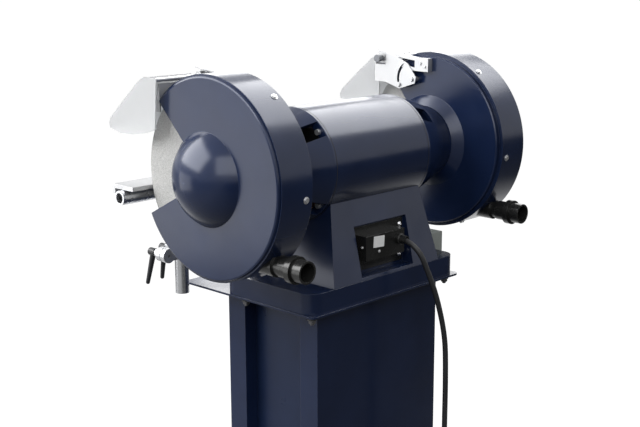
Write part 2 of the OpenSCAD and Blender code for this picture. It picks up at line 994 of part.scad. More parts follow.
module wheel_flanges() {
  difference() {
    union() {
      xcyl(flange_r, wheel_in_x - flange_t, wheel_in_x);
      xcyl(spigot_r, wheel_in_x - cut, wheel_in_x + spigot_l);
      xcyl(flange_r, wheel_out_x, wheel_out_x + flange_t);
      xcyl(spigot_r, wheel_out_x - spigot_l, wheel_out_x + cut);
    }
    xcyl(thread_r, wheel_in_x - 2 * flange_t, wheel_out_x + 2 * flange_t);
    xcyl(journal_r, wheel_in_x - 2 * flange_t, wheel_in_x - 1);
  }
}

module wheel_r() {
  color([0.72, 0.72, 0.71])
    at_shaft()
      wheel();
}

module wheel_l() {
  color([0.72, 0.72, 0.71])
    at_shaft()
      left_side()
        wheel();
}

module wheel_flanges_r() {
  color([0.55, 0.55, 0.57])
    at_shaft()
      wheel_flanges();
}

module wheel_flanges_l() {
  color([0.55, 0.55, 0.57])
    at_shaft()
      left_side()
        wheel_flanges();
}

module spindle_nut() {
  difference() {
    translate([wheel_out_x + flange_t, 0, 0])
      rotate([0, 90, 0])
        linear_extrude(height = nut_t)
          circle(r = nut_r, $fn = 6);
    xcyl(thread_r, wheel_out_x, tip_x + cut);
  }
}

module spindle_nuts() {
  color([0.6, 0.6, 0.62])
    at_shaft() {
      spindle_nut();
      left_side()
        spindle_nut();
    }
}

// ---------- eye shield and spark guard ----------

// open frame that carries the eye shield's hinge pin in front of the guard
module shield_arm() {
  difference() {
    union() {
      yz_plate(arm_outline, arm_x0, arm_x0 + spark_t);
      yz_plate([
        arm_outline[0], arm_outline[1], arm_outline[1] - [0, arm_flange], arm_outline[0] - [0, arm_flange]
      ], arm_x0, guard_in_x);
      slab([arm_x0, arm_outline[4][0], arm_outline[4][1]],
        [guard_in_x, arm_outline[2][0], arm_outline[2][1]]);
      xcyl(pin_r + 5, arm_x0, guard_in_x, hinge_y, hinge_z);
    }
    yz_plate(arm_window, arm_x0 - cut, arm_x0 + spark_t + cut);
    xcyl(pin_r + run_gap, arm_x0 - cut, guard_in_x + cut, hinge_y, hinge_z);
  }
}

module end_screws() {
  for (q = arm_screws)
    xcyl(arm_screw_r, arm_x0 - 2.5, arm_x0 + cut, q[0], q[1]);
}

// slot that lets the spark guard turn about its pivot screw
module slot_cut() {
  far = 2 * slot_r;
  translate([spark_x - cut, pivot_y, pivot_z])
    rotate([90, 0, 90])
      linear_extrude(height = side_t + 2 * cut) {
        difference() {
          intersection() {
            circle(r = slot_r + slot_w / 2);
            polygon([
              [0, 0], [far * cos(slot_ends[0]), far * sin(slot_ends[0])], [-1.3 * far, 0.3 * far],
              [far * cos(slot_ends[1]), far * sin(slot_ends[1])]
            ]);
          }
          circle(r = slot_r - slot_w / 2);
        }
        for (a = slot_ends)
          translate([slot_r * cos(a), slot_r * sin(a)])
            circle(r = slot_w / 2);
      }
}

// side plate, front plate and outer flange of the spark guard
module spark_guard() {
  front_y = spark_front_y + spark_t;
  difference() {
    union() {
      yz_plate(spark_outline, spark_x, spark_x + side_t);
      slab([spark_x, spark_front_y, spark_low_z], [spark_out_x + spark_t, front_y, spark_top_z]);
      slab([spark_out_x, spark_flange[0], spark_flange[1]], [spark_out_x + spark_t, front_y, spark_top_z]);
    }
    slot_cut();
    xcyl(screw_r + run_gap, spark_x - cut, spark_x + side_t + cut, pivot_y, pivot_z);
  }
}

// hinge pin with the strip that clamps the clear sheet
module shield_frame() {
  xcyl(pin_r, knob_x + 4, hood_x1 - strip_inset, hinge_y, hinge_z);
  slab([hood_x0 + strip_inset, strip_y, strip_z], [hood_x1 - strip_inset, hinge_y, strip_z + clear_t]);
}

// clear hood: folded sheet with two cheeks
module eye_shield() {
  yz_plate(concat(hood_outside, hood_inside), hood_x0, hood_x1);
  yz_plate(concat([cheek_in[1]], hood_outside, hood_low, [cheek_in[0]]), hood_x0, hood_x0 + clear_t);
  yz_plate(concat([cheek_out[1]], hood_outside, hood_low, [cheek_out[0]]), hood_x1 - clear_t, hood_x1);
  slab([hood_x0, hood_outside[0][0] - 1, strip_z + clear_t],
    [hood_x1, cheek_in[1][0] + 1, hood_outside[0][1]]);
}

module shield_knob() {
  difference() {
    union() {
      xcyl(knob_r, knob_x, knob_x + knob_w, hinge_y, hinge_z);
      xcyl(knob_neck_r, knob_x, arm_x0 - loose_gap, hinge_y, hinge_z);
    }
    xcyl(pin_r + run_gap, knob_x + 3, arm_x0, hinge_y, hinge_z);
  }
}

module shield_arm_r() {
  color([0.78, 0.79, 0.8])
    at_shaft() {
      shield_arm();
      end_screws();
      spark_screw_set();
    }
}

module shield_arm_l() {
  color([0.78, 0.79, 0.8])
    at_shaft()
      left_side() {
        shield_arm();
        end_screws();
        spark_screw_set();
      }
}

// pivot screw and slot screw with their spacers
module spark_screw_set() {
  for (q = [[pivot_y, pivot_z], slot_screw]) {
    xcyl(spacer_r, spark_x + side_t + loose_gap, guard_in_x, q[0], q[1]);
    xcyl(screw_r, spark_x - 2, guard_in_x + back_t, q[0], q[1]);
    xcyl(screw_head_r, spark_x - 4, spark_x - loose_gap, q[0], q[1]);
  }
}

module spark_guard_r() {
  color([0.8, 0.81, 0.82])
    at_shaft()
      spark_guard();
}

module spark_guard_l() {
  color([0.8, 0.81, 0.82])
    at_shaft()
      left_side()
        spark_guard();
}

module shield_frame_r() {
  color([0.7, 0.71, 0.72])
    at_shaft()
      shield_frame();
}

module shield_frame_l() {
  color([0.7, 0.71, 0.72])
    at_shaft()
      left_side()
        shield_frame();
}

module eye_shield_r() {
  color([0.9, 0.92, 0.93, 0.4])
    at_shaft()
      eye_shield();
}

module eye_shield_l() {
  color([0.9, 0.92, 0.93, 0.4])
    at_shaft()
      left_side()
        eye_shield();
}

module shield_knob_r() {
  color([0.35, 0.35, 0.37])
    at_shaft()
      shield_knob();
}

module shield_knob_l() {
  color([0.35, 0.35, 0.37])
    at_shaft()
      left_side()
        shield_knob();
}

// ---------- tool rest ----------

// bracket on the guard's inboard face with the rod that the clamp slides on
module rest_arm() {
  slab([guard_in_x - arm_pad_t, arm_pad_y[0], arm_pad_z[0]], [guard_in_x, arm_pad_y[1], arm_pad_z[1]]);
  slab([guide_x - arm_drop_w / 2 + 2, arm_bar_y[0], arm_bar_z[0]],
    [guard_in_x - arm_pad_t / 2, arm_bar_y[1], arm_bar_z[1]]);
  slab([guide_x - arm_drop_w / 2, arm_drop_y[0], arm_drop_z[0]],
    [guide_x + arm_drop_w / 2, arm_drop_y[1], arm_drop_z[1]]);
  ycyl(guide_r, guide_front_y, arm_drop_y[1] - 2, guide_x, guide_z);
}

module rest_clamp() {
  difference() {
    union() {
      translate([post_x, -rest_y, sleeve_z])
        cylinder(r = tube_r + sleeve_t, h = sleeve_h);
      ycyl(hub_r, hub_y - 12, hub_y, hub_x, hub_z);
      ycyl(hub_ring_r, hub_y - 16, hub_y - 10, hub_x, hub_z);
      ycyl(hub_r, hub_y - 26, hub_y - 14, hub_x, hub_z);
      ycyl(hub_neck_r, hub_y - 37, hub_y - 20, hub_x, hub_z);
      slab([post_x + 12, -rest_y - 6, hub_web[0]], [hub_x, 9 - rest_y, hub_web[1]]);
      ycyl(guide_r + sleeve_t, slide_y0, slide_y1, guide_x, guide_z);
      slab([guide_x + 6, -rest_y - 11, guide_web[0]], [post_x - 8, 11 - rest_y, guide_web[1]]);
      slab([lever_b[0] - ear_w / 2, lever_b[1] + 13, ear_z[0]],
        [lever_b[0] + ear_w / 2, 4 - rest_y, ear_z[1]]);
    }
    translate([post_x, -rest_y, sleeve_z - sleeve_h / 2])
      cylinder(r = tube_r + run_gap, h = 2 * sleeve_h);
    ycyl(guide_r + run_gap, slide_y0 - cut, slide_y1 + cut, guide_x, guide_z);
    ycyl(thread_r / 5, hub_y - 8, hub_y + cut, hub_x, hub_z);
    ycyl(lever_pin_r + run_gap, lever_b[1] + 10, lever_b[1] + lever_b_pin + cut, lever_b[0], lever_b[2]);
    ycyl(lever_pin_r + run_gap, lever_a[1] + 7, lever_a[1] + lever_a_pin + cut, hub_x, hub_z);
  }
}

module rest_post() {
  under_z = rest_top_z - rest_t;
  difference() {
    union() {
      translate([post_x, -rest_y, post_low_z])
        cylinder(r = tube_r, h = tube_z - post_low_z - 4);
      xcyl(tube_r, post_x, wheel_x + rest_w / 2 + tube_out, -rest_y, tube_z);
      slab([post_x - elbow_w / 2, -rest_y - elbow_w / 2, elbow_low_z],
        [post_x + elbow_w / 2, elbow_w / 2 - rest_y, under_z]);
      slab([pad_x0, -rest_y - pad_d / 2, tube_z - pad_drop], [pad_x0 + pad_w, pad_d / 2 - rest_y, under_z]);
    }
    translate([post_x, -rest_y, post_low_z - cut])
      cylinder(d = tube_bore, h = post_bore_l);
    xcyl(tube_bore / 2, post_x + elbow_w / 2 + 7, wheel_x + rest_w / 2 + tube_out + cut, -rest_y, tube_z);
  }
}

module rest_plate() {
  x0 = wheel_x - rest_w / 2;
  x1 = wheel_x + rest_w / 2;
  y0 = -rest_y - rest_back;
  slab([x0, y0, rest_top_z - rest_t], [x1, -wheel_r0 - rest_gap, rest_top_z]);
  slab([x0, y0, rest_top_z - rest_lip], [x1, y0 + rest_lip_t, rest_top_z]);
}

// clamp lever hanging down from its threaded pin
module lever(at, pin_l, tilt) {
  translate(at) {
    ycyl(lever_pin_r, 0, pin_l);
    ycyl(lever_pin_r + 3, -9, 8);
    ycyl(lever_pin_r + 1.5, 7, 13);
    rotate([lever_lean, tilt, 0]) {
      cylinder(r1 = grip_r, r2 = grip_end_r, h = lever_l);
      translate([0, 0, lever_l])
        sphere(r = grip_end_r);
    }
  }
}

module rest_arm_r() {
  color([0.2, 0.22, 0.28])
    at_shaft()
      rest_arm();
}

module rest_arm_l() {
  color([0.2, 0.22, 0.28])
    at_shaft()
      left_side()
        rest_arm();
}

module rest_clamp_r() {
  color([0.72, 0.73, 0.74])
    at_shaft()
      rest_clamp();
}

module rest_clamp_l() {
  color([0.72, 0.73, 0.74])
    at_shaft()
      left_side()
        rest_clamp();
}

module rest_post_r() {
  color([0.75, 0.76, 0.77])
    at_shaft()
      rest_post();
}

module rest_post_l() {
  color([0.75, 0.76, 0.77])
    at_shaft()
      left_side()
        rest_post();
}

module rest_plate_r() {
  color([0.8, 0.81, 0.82])
    at_shaft()
      rest_plate();
}

module rest_plate_l() {
  color([0.8, 0.81, 0.82])
    at_shaft()
      left_side()
        rest_plate();
}

module lever_a_r() {
  color([0.06, 0.06, 0.07])
    at_shaft()
      lever(lever_a, lever_a_pin, -lever_tilt);
}

module lever_a_l() {
  color([0.06, 0.06, 0.07])
    at_shaft()
      left_side()
        lever(lever_a, lever_a_pin, -lever_tilt);
}

module lever_b_r() {
  color([0.06, 0.06, 0.07])
    at_shaft()
      lever(lever_b, lever_b_pin, 0);
}

module lever_b_l() {
  color([0.06, 0.06, 0.07])
    at_shaft()
      left_side()
        lever(lever_b, lever_b_pin, 0);
}

stand_core();
column_front();
column_rear();
top_plate();
stand_bolts();
base_box();
motor_foot();
motor_shell();
stator();
end_bell_r();
end_bell_l();
tie_bolts();
bearings();
rotor();
shaft();
rear_panel();
cable_box();
cable_gland();
cord();
cord_coil();
plug();
switch_box();
start_button();
stop_button();
guard_back_r();
guard_band_r();
guard_cover_r();
dust_outlet_r();
guard_screws();
guard_back_l();
guard_band_l();
guard_cover_l();
dust_outlet_l();
wheel_r();
wheel_flanges_r();
wheel_l();
wheel_flanges_l();
spindle_nuts();
shield_arm_r();
spark_guard_r();
shield_frame_r();
eye_shield_r();
shield_knob_r();
shield_arm_l();
spark_guard_l();
shield_frame_l();
eye_shield_l();
shield_knob_l();
rest_arm_r();
rest_clamp_r();
rest_post_r();
rest_plate_r();
lever_a_r();
lever_b_r();
rest_arm_l();
rest_clamp_l();
rest_post_l();
rest_plate_l();
lever_a_l();
lever_b_l();
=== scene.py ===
"""Looks of the pedestal bench grinder: camera, cord, lights, materials and small detail."""
from collections import namedtuple
import json
import math

import bmesh
import bpy
from mathutils import Matrix, Vector


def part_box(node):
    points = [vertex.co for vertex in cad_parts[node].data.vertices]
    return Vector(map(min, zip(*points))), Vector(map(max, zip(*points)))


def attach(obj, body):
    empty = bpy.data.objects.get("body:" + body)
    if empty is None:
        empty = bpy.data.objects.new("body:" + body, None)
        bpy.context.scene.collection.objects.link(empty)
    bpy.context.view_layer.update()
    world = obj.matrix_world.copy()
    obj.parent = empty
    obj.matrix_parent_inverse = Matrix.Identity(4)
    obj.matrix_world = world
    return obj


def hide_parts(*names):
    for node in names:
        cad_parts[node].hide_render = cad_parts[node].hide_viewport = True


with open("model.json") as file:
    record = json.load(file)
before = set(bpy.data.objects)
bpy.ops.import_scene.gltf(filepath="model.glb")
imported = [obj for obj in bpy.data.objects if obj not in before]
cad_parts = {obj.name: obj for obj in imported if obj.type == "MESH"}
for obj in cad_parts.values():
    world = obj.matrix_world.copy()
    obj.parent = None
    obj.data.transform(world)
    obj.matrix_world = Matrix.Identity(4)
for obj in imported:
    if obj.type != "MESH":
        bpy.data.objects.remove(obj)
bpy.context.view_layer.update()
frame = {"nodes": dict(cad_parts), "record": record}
NODES = frame["nodes"]
MM = 0.001

# ---------------------------------------------------------------- camera

# places in metres, the roll in degrees, the lens and its sensor in millimetres
CAMERA_AT = Vector((1.67642, 1.56129, 1.40041))
CAMERA_AIM = Vector((0.1347, 0.0660, 0.9238))
CAMERA_ROLL = -0.19
CAMERA_LENS = 65.8
CAMERA_SENSOR = 36.0


def add_camera():
    camera = bpy.data.objects.new("camera", bpy.data.cameras.new("camera"))
    bpy.context.scene.collection.objects.link(camera)
    turn = (CAMERA_AIM - CAMERA_AT).to_track_quat("-Z", "Y").to_matrix().to_4x4()
    roll = Matrix.Rotation(math.radians(CAMERA_ROLL), 4, "Z")
    camera.matrix_world = Matrix.Translation(CAMERA_AT) @ turn @ roll
    camera.data.lens = CAMERA_LENS
    camera.data.sensor_width = CAMERA_SENSOR
    bpy.context.scene.camera = camera


# ---------------------------------------------------------------- mains cord

CORD_D = 0.011
CORD_STEP = 0.004
CORD_EASING_ROUNDS = 12
CORD_EXIT = (-0.032, 0.124, 0.855)
HANG = [
    CORD_EXIT, (-0.032, 0.127, 0.855), (-0.0324, 0.1373, 0.8539), (-0.0334, 0.1472, 0.8506),
    (-0.0351, 0.1559, 0.8452), (-0.0374, 0.1632, 0.8382), (-0.0402, 0.1687, 0.8297),
    (-0.043, 0.1719, 0.8208),
    (-0.048, 0.1755, 0.805), (-0.0578, 0.182, 0.775), (-0.0663, 0.1875, 0.745), (-0.0745, 0.1915, 0.712),
    (-0.082, 0.1945, 0.677), (-0.088, 0.1963, 0.634), (-0.090, 0.197, 0.559), (-0.090, 0.197, 0.490),
    (-0.090, 0.197, 0.420), (-0.090, 0.197, 0.350), (-0.090, 0.199, 0.280), (-0.090, 0.201, 0.245),
    (-0.090, 0.204, 0.210), (-0.090, 0.208, 0.175), (-0.090, 0.213, 0.140), (-0.090, 0.219, 0.105),
    (-0.090, 0.226, 0.072), (-0.090, 0.2371, 0.0393), (-0.090, 0.2432, 0.028), (-0.090, 0.2512, 0.0188),
    (-0.090, 0.261, 0.0119), (-0.090, 0.2723, 0.0072), (-0.090, 0.285, 0.0056),
]
TAIL = [
    (0.000, 0.3605, 0.0172), (0.016, 0.362, 0.0184), (0.034, 0.365, 0.0215),
    (0.052, 0.369, 0.0250), (0.066, 0.372, 0.027),
]
COIL_CENTRE = (-0.0245, 0.300)
# (degrees turned, radius) and (degrees turned, height) of the cord's middle along the coil
COIL_RADII = [(0, 0.0655), (262, 0.0655), (350, 0.0545), (575, 0.0545), (700, 0.0600), (810, 0.0600)]
COIL_HEIGHTS = [(0, 0.0056), (575, 0.0056), (665, 0.0166), (715, 0.0168), (770, 0.0162), (810, 0.0166)]
COIL_STEP = 15
COIL_START = 180


def ease(steps, at):
    """The value at a place along rows of (place, value), with soft changes between them."""
    for (a, low), (b, high) in zip(steps, steps[1:]):
        if at <= b:
            t = (at - a) / (b - a)
            return low + (high - low) * t * t * (3 - 2 * t)
    return steps[-1][1]


def coil_points():
    points = []
    for turned in range(0, COIL_RADII[-1][0] + 1, COIL_STEP):
        radius, height = ease(COIL_RADII, turned), ease(COIL_HEIGHTS, turned)
        angle = math.radians(COIL_START - turned)
        points.append((COIL_CENTRE[0] + radius * math.cos(angle),
                       COIL_CENTRE[1] + radius * math.sin(angle), height))
    return points


def smooth_line(points, steps=4):
    """A smooth line through the points, by Catmull-Rom."""
    pts = [Vector(p) for p in points]
    line = []
    for i in range(len(pts) - 1):
        p0, p1 = pts[max(i - 1, 0)], pts[i]
        p2, p3 = pts[i + 1], pts[min(i + 2, len(pts) - 1)]
        for k in range(steps):
            t = k / steps
            line.append(0.5 * ((2 * p1) + (p2 - p0) * t + (2 * p0 - 5 * p1 + 4 * p2 - p3) * t * t
                               + (3 * p1 - p0 - 3 * p2 + p3) * t ** 3))
    return line + [pts[-1]]


def even_line(points, step):
    """The same line in equal steps."""
    line, left = [points[0]], step
    for a, b in zip(points, points[1:]):
        run = (b - a).length
        while run >= left:
            a = a.lerp(b, left / run)
            line.append(a)
            run, left = (b - a).length, step
        left -= run
    kept = line if (line[-1] - points[-1]).length > step / 2 else line[:-1]
    return kept + [points[-1]]


def relaxed(line, rounds):
    """Eases the bends by moving each point towards its neighbours; the ends stay."""
    for _ in range(rounds):
        eased = [a / 4 + b / 2 + c / 4 for a, b, c in zip(line, line[1:], line[2:])]
        line = [line[0]] + eased + [line[-1]]
    return line


def add_cord():
    """One tube from the gland to the plug; each point's radius sets its thickness."""
    line = smooth_line(HANG + coil_points() + TAIL)
    route = relaxed(even_line(line, CORD_STEP), CORD_EASING_ROUNDS)
    data = bpy.data.curves.new("mains_cord", "CURVE")
    data.dimensions = "3D"
    data.bevel_depth = 1.0
    data.bevel_resolution = 5
    data.use_fill_caps = True
    spline = data.splines.new("POLY")
    spline.points.add(len(route) - 1)
    for point, at in zip(spline.points, route):
        point.co = (*at, 1.0)
        point.radius = CORD_D / 2
    cord = bpy.data.objects.new("mains_cord", data)
    bpy.context.scene.collection.objects.link(cord)
    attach(cord, "stand")
    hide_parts("cord", "cord_coil")
    cord.data.materials.append(material("cord_rubber"))


# ---------------------------------------------------------------- shader helpers

BEVEL_SAMPLES = 4


def wire(tree, value, socket):
    """Sets a socket to a plain value, or links it from another node's output."""
    if isinstance(value, bpy.types.NodeSocket):
        tree.links.new(value, socket)
    else:
        socket.default_value = value


def add_node(tree, kind, inputs=(), **settings):
    made = tree.nodes.new("ShaderNode" + kind)
    for name, value in settings.items():
        setattr(made, name, value)
    for key, value in dict(inputs).items():
        wire(tree, value, made.inputs[key])
    return made


def object_place(tree, stretch=(1, 1, 1)):
    where = add_node(tree, "TexCoord").outputs["Object"]
    return add_node(tree, "Mapping", {"Vector": where, "Scale": stretch}).outputs["Vector"]


def noise(tree, place, scale, detail=3.0, roughness=0.55):
    return add_node(tree, "TexNoise", {
        "Vector": place, "Scale": scale, "Detail": detail, "Roughness": roughness,
    }).outputs["Fac"]


def remap(tree, value, low, high, out_low, out_high):
    return add_node(tree, "MapRange", {
        "Value": value, "From Min": low, "From Max": high, "To Min": out_low, "To Max": out_high,
    }).outputs["Result"]


def math_node(tree, operation, a, b=0.0):
    made = add_node(tree, "Math", operation=operation)
    wire(tree, a, made.inputs[0])
    wire(tree, b, made.inputs[1])
    return made.outputs[0]


def dot_product(tree, a, b):
    made = add_node(tree, "VectorMath", operation="DOT_PRODUCT")
    wire(tree, a, made.inputs[0])
    wire(tree, b, made.inputs[1])
    return made.outputs["Value"]


def bump(tree, height, strength, distance, **under):
    """A bumped normal; under may name the normal that it starts from."""
    inputs = {"Height": height, "Strength": strength, "Distance": distance, **under}
    return add_node(tree, "Bump", inputs).outputs["Normal"]


def bevelled(tree, radius):
    return add_node(tree, "Bevel", {"Radius": radius}, samples=BEVEL_SAMPLES).outputs["Normal"]


def new_material(name):
    """A material with its node tree and its surface shader."""
    made = bpy.data.materials.new(name)
    made.use_nodes = True
    return made, made.node_tree, made.node_tree.nodes["Principled BSDF"]


def mix_colour(tree, factor, a, b):
    made = add_node(tree, "Mix", data_type="RGBA")
    wire(tree, factor, made.inputs["Factor"])
    wire(tree, a, made.inputs["A"])
    wire(tree, b, made.inputs["B"])
    return made.outputs["Result"]


def rgba(colour, factor=1.0):
    return (colour[0] * factor, colour[1] * factor, colour[2] * factor, 1.0)


def edge_mask(tree, radius):
    """1 on edges sharper than the radius, 0 on flat and softly curved faces."""
    true = add_node(tree, "NewGeometry").outputs["Normal"]
    return remap(tree, dot_product(tree, bevelled(tree, radius), true), 0.995, 0.90, 0.0, 1.0)


Finish = namedtuple("Finish", "colour rough metal ior grain depth spread worn edge")
# grain is the fine bumps' scale and depth their strength; spread is how far the lightness varies;
# worn is the colour of rubbed edges, if any; edge is the edge's radius in metres
FINISHES = {
    "paint": Finish((0.0074, 0.0150, 0.046), 0.20, 0.0, 1.44, 900, 0.10, 0.16, (0.05, 0.06, 0.09), 0.0012),
    "paint_dark": Finish((0.0064, 0.0135, 0.040), 0.32, 0.0, 1.42, 700, 0.14, 0.2,
                         (0.05, 0.06, 0.08), 0.0012),
    "zinc": Finish((0.52, 0.525, 0.535), 0.40, 0.85, 1.5, 1600, 0.10, 0.08, (0.9, 0.9, 0.92), 0.0005),
    "steel": Finish((0.55, 0.56, 0.58), 0.26, 0.95, 1.5, 1800, 0.10, 0.08, (0.85, 0.85, 0.87), 0.0006),
    "iron": Finish((0.10, 0.10, 0.105), 0.48, 0.75, 1.5, 900, 0.25, 0.25, (0.35, 0.35, 0.36), 0.0006),
    "aluminium": Finish((0.66, 0.67, 0.69), 0.38, 0.8, 1.5, 700, 0.30, 0.08, (0.85, 0.85, 0.86), 0.0010),
    "black_plastic": Finish((0.011, 0.0112, 0.011), 0.26, 0.0, 1.48, 1400, 0.06, 0.3, None, 0.0006),
    "grey_plastic": Finish((0.36, 0.39, 0.37), 0.42, 0.0, 1.45, 1400, 0.12, 0.06, None, 0.0010),
    "green_plastic": Finish((0.02, 0.28, 0.07), 0.25, 0.0, 1.45, 1200, 0.05, 0.08, None, 0.0006),
    "red_plastic": Finish((0.55, 0.02, 0.02), 0.25, 0.0, 1.45, 1200, 0.05, 0.08, None, 0.0006),
    "knob_grey": Finish((0.20, 0.21, 0.23), 0.45, 0.0, 1.45, 1100, 0.2, 0.1, None, 0.0010),
    "lever_black": Finish((0.012, 0.013, 0.016), 0.33, 0.0, 1.45, 1100, 0.12, 0.25, None, 0.0012),
    "cord_rubber": Finish((0.010, 0.0105, 0.012), 0.5, 0.0, 1.45, 900, 0.25, 0.25, None, 0.0004),
    "label_white": Finish((0.87, 0.88, 0.88), 0.5, 0.0, 1.45, 500, 0.04, 0.03, None, 0.0002),
    "screw_bright": Finish((0.80, 0.80, 0.82), 0.22, 0.9, 1.5, 1600, 0.05, 0.05, (0.9, 0.9, 0.92), 0.0005),
    # the near-black seam finish is painted shade: it stands for the shade in the grooves where the motor's
    # shell meets its end bells
    "seam_shade": Finish((0.003, 0.0035, 0.006), 0.5, 0.0, 1.4, 900, 0.2, 0.2, None, 0.0004),
}

# the navy paint has a bluish gloss
GLOSS_TINT = {"paint": (0.89, 0.915, 1.0), "paint_dark": (0.89, 0.915, 1.0)}
CLOUD_SCALE = 7.0
SMEAR_SCALE = 22.0
SCRATCH_SCALE = 60.0
WEAR_SHARE = 0.6
GRAIN_HEIGHT = 0.00012


def build_finish(name):
    """A painted, plated, bare or moulded surface, by its row in FINISHES."""
    look = FINISHES[name]
    made, tree, shader = new_material("finish_" + name)
    place = object_place(tree)
    tint = remap(tree, noise(tree, place, CLOUD_SCALE), 0.3, 0.7, 0.0, 1.0)
    base = mix_colour(tree, tint, rgba(look.colour, 1 - look.spread), rgba(look.colour, 1 + look.spread))
    if look.worn:
        scratches = remap(tree, noise(tree, place, SCRATCH_SCALE), 0.42, 0.62, 0.0, 1.0)
        wear = math_node(tree, "MULTIPLY", edge_mask(tree, look.edge), scratches)
        base = mix_colour(tree, math_node(tree, "MULTIPLY", wear, WEAR_SHARE), base, rgba(look.worn))
    wire(tree, base, shader.inputs["Base Color"])
    smears = noise(tree, place, SMEAR_SCALE, 4.0)
    rough = remap(tree, smears, 0.3, 0.7, look.rough * 0.85, look.rough * 1.18)
    wire(tree, rough, shader.inputs["Roughness"])
    shader.inputs["Metallic"].default_value = look.metal
    shader.inputs["IOR"].default_value = look.ior
    shader.inputs["Specular Tint"].default_value = rgba(GLOSS_TINT.get(name, (1, 1, 1)))
    grain = noise(tree, place, look.grain, 2.0)
    normal = bump(tree, grain, look.depth, GRAIN_HEIGHT, Normal=bevelled(tree, look.edge))
    wire(tree, normal, shader.inputs["Normal"])
    return made


def build_grit(name):
    """Vitrified abrasive: light grains of several sizes with open pores between them."""
    made, tree, shader = new_material("finish_" + name)
    place = object_place(tree)
    grains = add_node(tree, "TexVoronoi", {"Vector": place, "Scale": 900.0}).outputs["Color"]
    light = add_node(tree, "SeparateColor", {"Color": grains}).outputs["Red"]
    pores = noise(tree, place, 520.0, 4.0)
    bonded = mix_colour(tree, light, (0.33, 0.33, 0.325, 1), (0.55, 0.55, 0.54, 1))
    dark = remap(tree, pores, 0.34, 0.46, 1.0, 0.0)
    base = mix_colour(tree, math_node(tree, "MULTIPLY", dark, 0.55), bonded, (0.20, 0.20, 0.20, 1))
    wire(tree, base, shader.inputs["Base Color"])
    wire(tree, remap(tree, light, 0.0, 1.0, 0.75, 0.95), shader.inputs["Roughness"])
    shader.inputs["IOR"].default_value = 1.4
    height = math_node(tree, "ADD", pores, math_node(tree, "MULTIPLY", light, 0.4))
    wire(tree, bump(tree, height, 0.6, 0.0008), shader.inputs["Normal"])
    return made


def build_clear(name):
    """Clear polycarbonate sheet, slightly clouded by grinding dust."""
    made, tree, shader = new_material("finish_" + name)
    place = object_place(tree)
    haze = noise(tree, place, 9.0, 5.0)
    shader.inputs["Base Color"].default_value = (0.70, 0.71, 0.72, 1)
    shader.inputs["IOR"].default_value = 1.46
    wire(tree, remap(tree, haze, 0.35, 0.7, 0.30, 0.36), shader.inputs["Roughness"])
    wire(tree, remap(tree, haze, 0.35, 0.7, 0.58, 0.50), shader.inputs["Transmission Weight"])
    fine = noise(tree, object_place(tree, (1, 6, 6)), 140.0, 3.0)
    wire(tree, bump(tree, fine, 0.04, 0.0005), shader.inputs["Normal"])
    return made


def build_windings(name):
    """Laminated core with copper end turns."""
    made, tree, shader = new_material("finish_" + name)
    turns = add_node(tree, "TexWave", {
        "Vector": object_place(tree), "Scale": 130.0, "Distortion": 2.0, "Detail": 2.0,
    }, bands_direction="Z")
    copper = mix_colour(tree, turns.outputs["Fac"], (0.16, 0.06, 0.025, 1), (0.40, 0.17, 0.07, 1))
    wire(tree, copper, shader.inputs["Base Color"])
    wire(tree, remap(tree, turns.outputs["Fac"], 0, 1, 0.5, 0.3), shader.inputs["Roughness"])
    shader.inputs["Metallic"].default_value = 0.5
    wire(tree, bump(tree, turns.outputs["Fac"], 0.5, 0.0008), shader.inputs["Normal"])
    return made


SPECIAL = {"grit": build_grit, "clear": build_clear, "windings": build_windings}
MADE = {}


def material(name):
    """The finish of that name, made once."""
    if name not in MADE:
        MADE[name] = SPECIAL.get(name, build_finish)(name)
    return MADE[name]


# ---------------------------------------------------------------- finishes of the CAD nodes

SLOT_FINISH = {"clear": "clear", "grit": "grit", "copper_iron": "windings", "rubber": "cord_rubber"}
NODE_FINISH = {
    "lever_a_r": "lever_black", "lever_a_l": "lever_black",
    "lever_b_r": "lever_black", "lever_b_l": "lever_black",
    "shield_knob_r": "knob_grey", "shield_knob_l": "knob_grey",
}


def dress_nodes():
    slots = {s["node"]: s["material_slot"] for s in frame["record"]["subparts"]}
    for name, obj in NODES.items():
        slot = slots[name]
        finish = NODE_FINISH.get(name, SLOT_FINISH.get(slot, slot))
        obj.data.materials.clear()
        obj.data.materials.append(material(finish))


# ---------------------------------------------------------------- small detail

# the middle of the spindle; the sizes and places below are in millimetres
SHAFT = sum((Vector(corner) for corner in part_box("rotor")), Vector()) / 2
SIDES = 36
RIGHT, LEFT = (1, 0, 0), (-1, 0, 0)
BACK, FRONT = (0, 1, 0), (0, -1, 0)
UP, DOWN = (0, 0, 1), (0, 0, -1)


def from_shaft(x, y, z):
    """A place given in millimetres from the middle of the spindle."""
    return SHAFT + Vector((x, y, z)) * MM


def add_piece(name, bm, body, finish):
    bmesh.ops.recalc_face_normals(bm, faces=bm.faces)
    mesh = bpy.data.meshes.new(name)
    bm.to_mesh(mesh)
    bm.free()
    mesh.materials.append(material(finish))
    piece = bpy.data.objects.new(name, mesh)
    bpy.context.scene.collection.objects.link(piece)
    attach(piece, body)
    return piece


def spanning(axis):
    """Two directions square to an axis and to each other."""
    axis = Vector(axis).normalized()
    side = axis.orthogonal().normalized()
    return axis, side, axis.cross(side)


def six_sided(angle):
    """How far a hexagon's side is at that angle, for a corner radius of 1."""
    return math.cos(math.pi / 6) / math.cos(angle % (math.pi / 3) - math.pi / 6)


